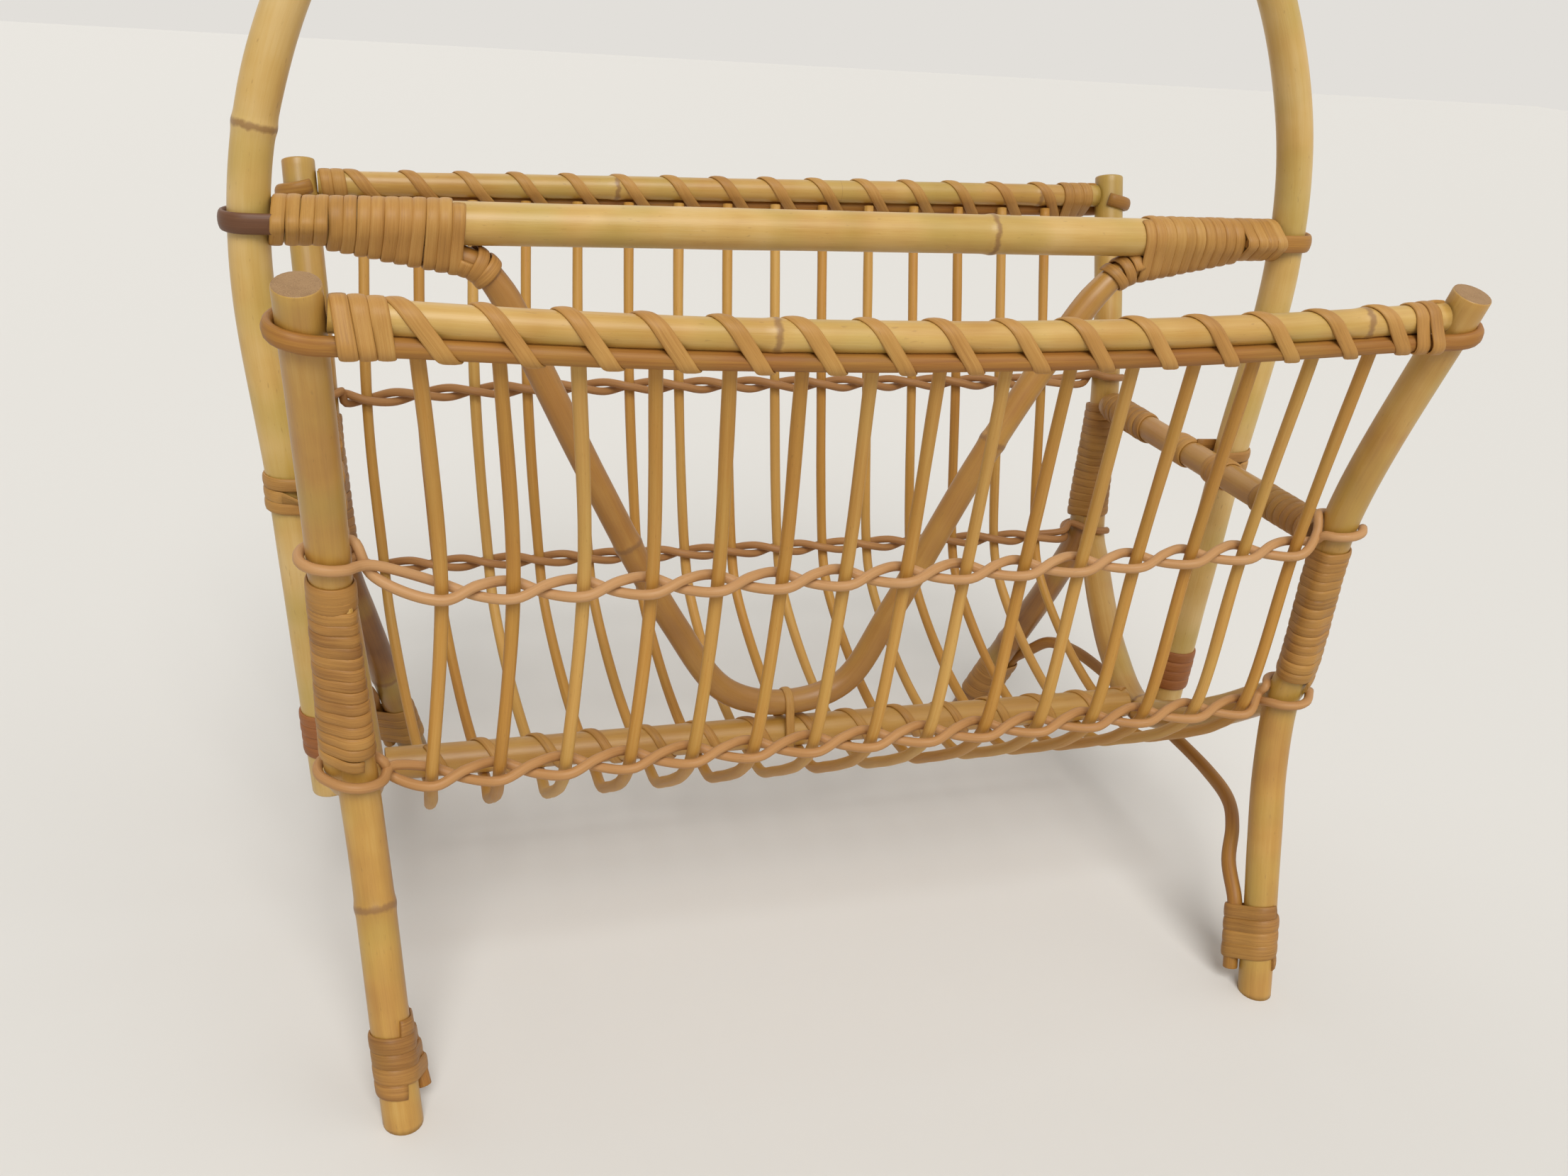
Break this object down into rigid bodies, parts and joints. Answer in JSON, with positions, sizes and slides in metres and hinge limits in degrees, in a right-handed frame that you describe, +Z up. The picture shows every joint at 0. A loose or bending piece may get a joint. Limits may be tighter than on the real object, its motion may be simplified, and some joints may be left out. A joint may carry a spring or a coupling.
{
  "type": "magazine rack",
  "caption": "Rattan magazine rack: two open slatted pockets on four lashed legs, split by a braced centre bar, under one tall hoop handle.",
  "frame": {"origin": "on the floor under the middle of the rack", "axes": "+Z up along the handle's height, +X along the centre bar to the right end, +Y from the front wall to the back wall"},
  "size_m": [0.5158, 0.3222, 0.5769],
  "materials": {
    "pole_cane": "varnished rattan pole, satin",
    "tan_cane": "varnished tan rattan pole, satin",
    "rod_cane": "varnished thin rattan rod, satin",
    "stake_cane": "thin round rattan core, satin",
    "strand_cane": "round reed, dull satin",
    "split_cane": "flat split cane, satin",
    "red_cane": "flat split cane stained red-brown, satin",
    "dark_cane": "thin dark brown cane, satin"
  },
  "bodies": {
    "root": {"end_frame_left": "pole_cane", "end_frame_right": "pole_cane", "leg_front_left": "pole_cane", "leg_front_right": "pole_cane", "leg_back_left": "pole_cane", "leg_back_right": "pole_cane", "handle_hoop": "pole_cane", "centre_bar": "pole_cane", "divider_brace": "tan_cane", "base_bar": "tan_cane", "rim_front": "tan_cane", "rim_back": "tan_cane", "rim_rod_front": "rod_cane", "rim_rod_back": "rod_cane", "rim_binding_front": "split_cane", "rim_binding_back": "split_cane", "stake_01": "stake_cane", "stake_02": "stake_cane", "stake_03": "stake_cane", "stake_04": "stake_cane", "stake_05": "stake_cane", "stake_06": "stake_cane", "stake_07": "stake_cane", "stake_08": "stake_cane", "stake_09": "stake_cane", "stake_10": "stake_cane", "stake_11": "stake_cane", "stake_12": "stake_cane", "stake_13": "stake_cane", "stake_14": "stake_cane", "stake_15": "stake_cane", "waist_braid_front": "strand_cane", "waist_braid_back": "strand_cane", "hem_braid_front": "strand_cane", "hem_braid_back": "strand_cane", "crossbar_left": "tan_cane", "crossbar_right": "tan_cane", "leg_brace_left": "rod_cane", "leg_brace_right": "rod_cane", "bar_loop_left": "dark_cane", "bar_loop_right": "dark_cane", "post_lashing_front_left": "split_cane", "post_lashing_front_right": "split_cane", "post_lashing_back_left": "split_cane", "post_lashing_back_right": "split_cane", "bar_lashing_left": "split_cane", "bar_lashing_right": "split_cane", "foot_lashing_front_left": "split_cane", "foot_lashing_front_right": "split_cane", "foot_lashing_back_left": "split_cane", "foot_lashing_back_right": "split_cane", "crossbar_lashing_front_left": "split_cane", "crossbar_lashing_front_right": "split_cane", "crossbar_lashing_back_left": "split_cane", "crossbar_lashing_back_right": "split_cane", "joint_lashing_left": "split_cane", "joint_lashing_right": "split_cane", "handle_lashing_left": "red_cane", "handle_lashing_right": "red_cane", "base_binding": "split_cane"}
  },
  "joints": []
}
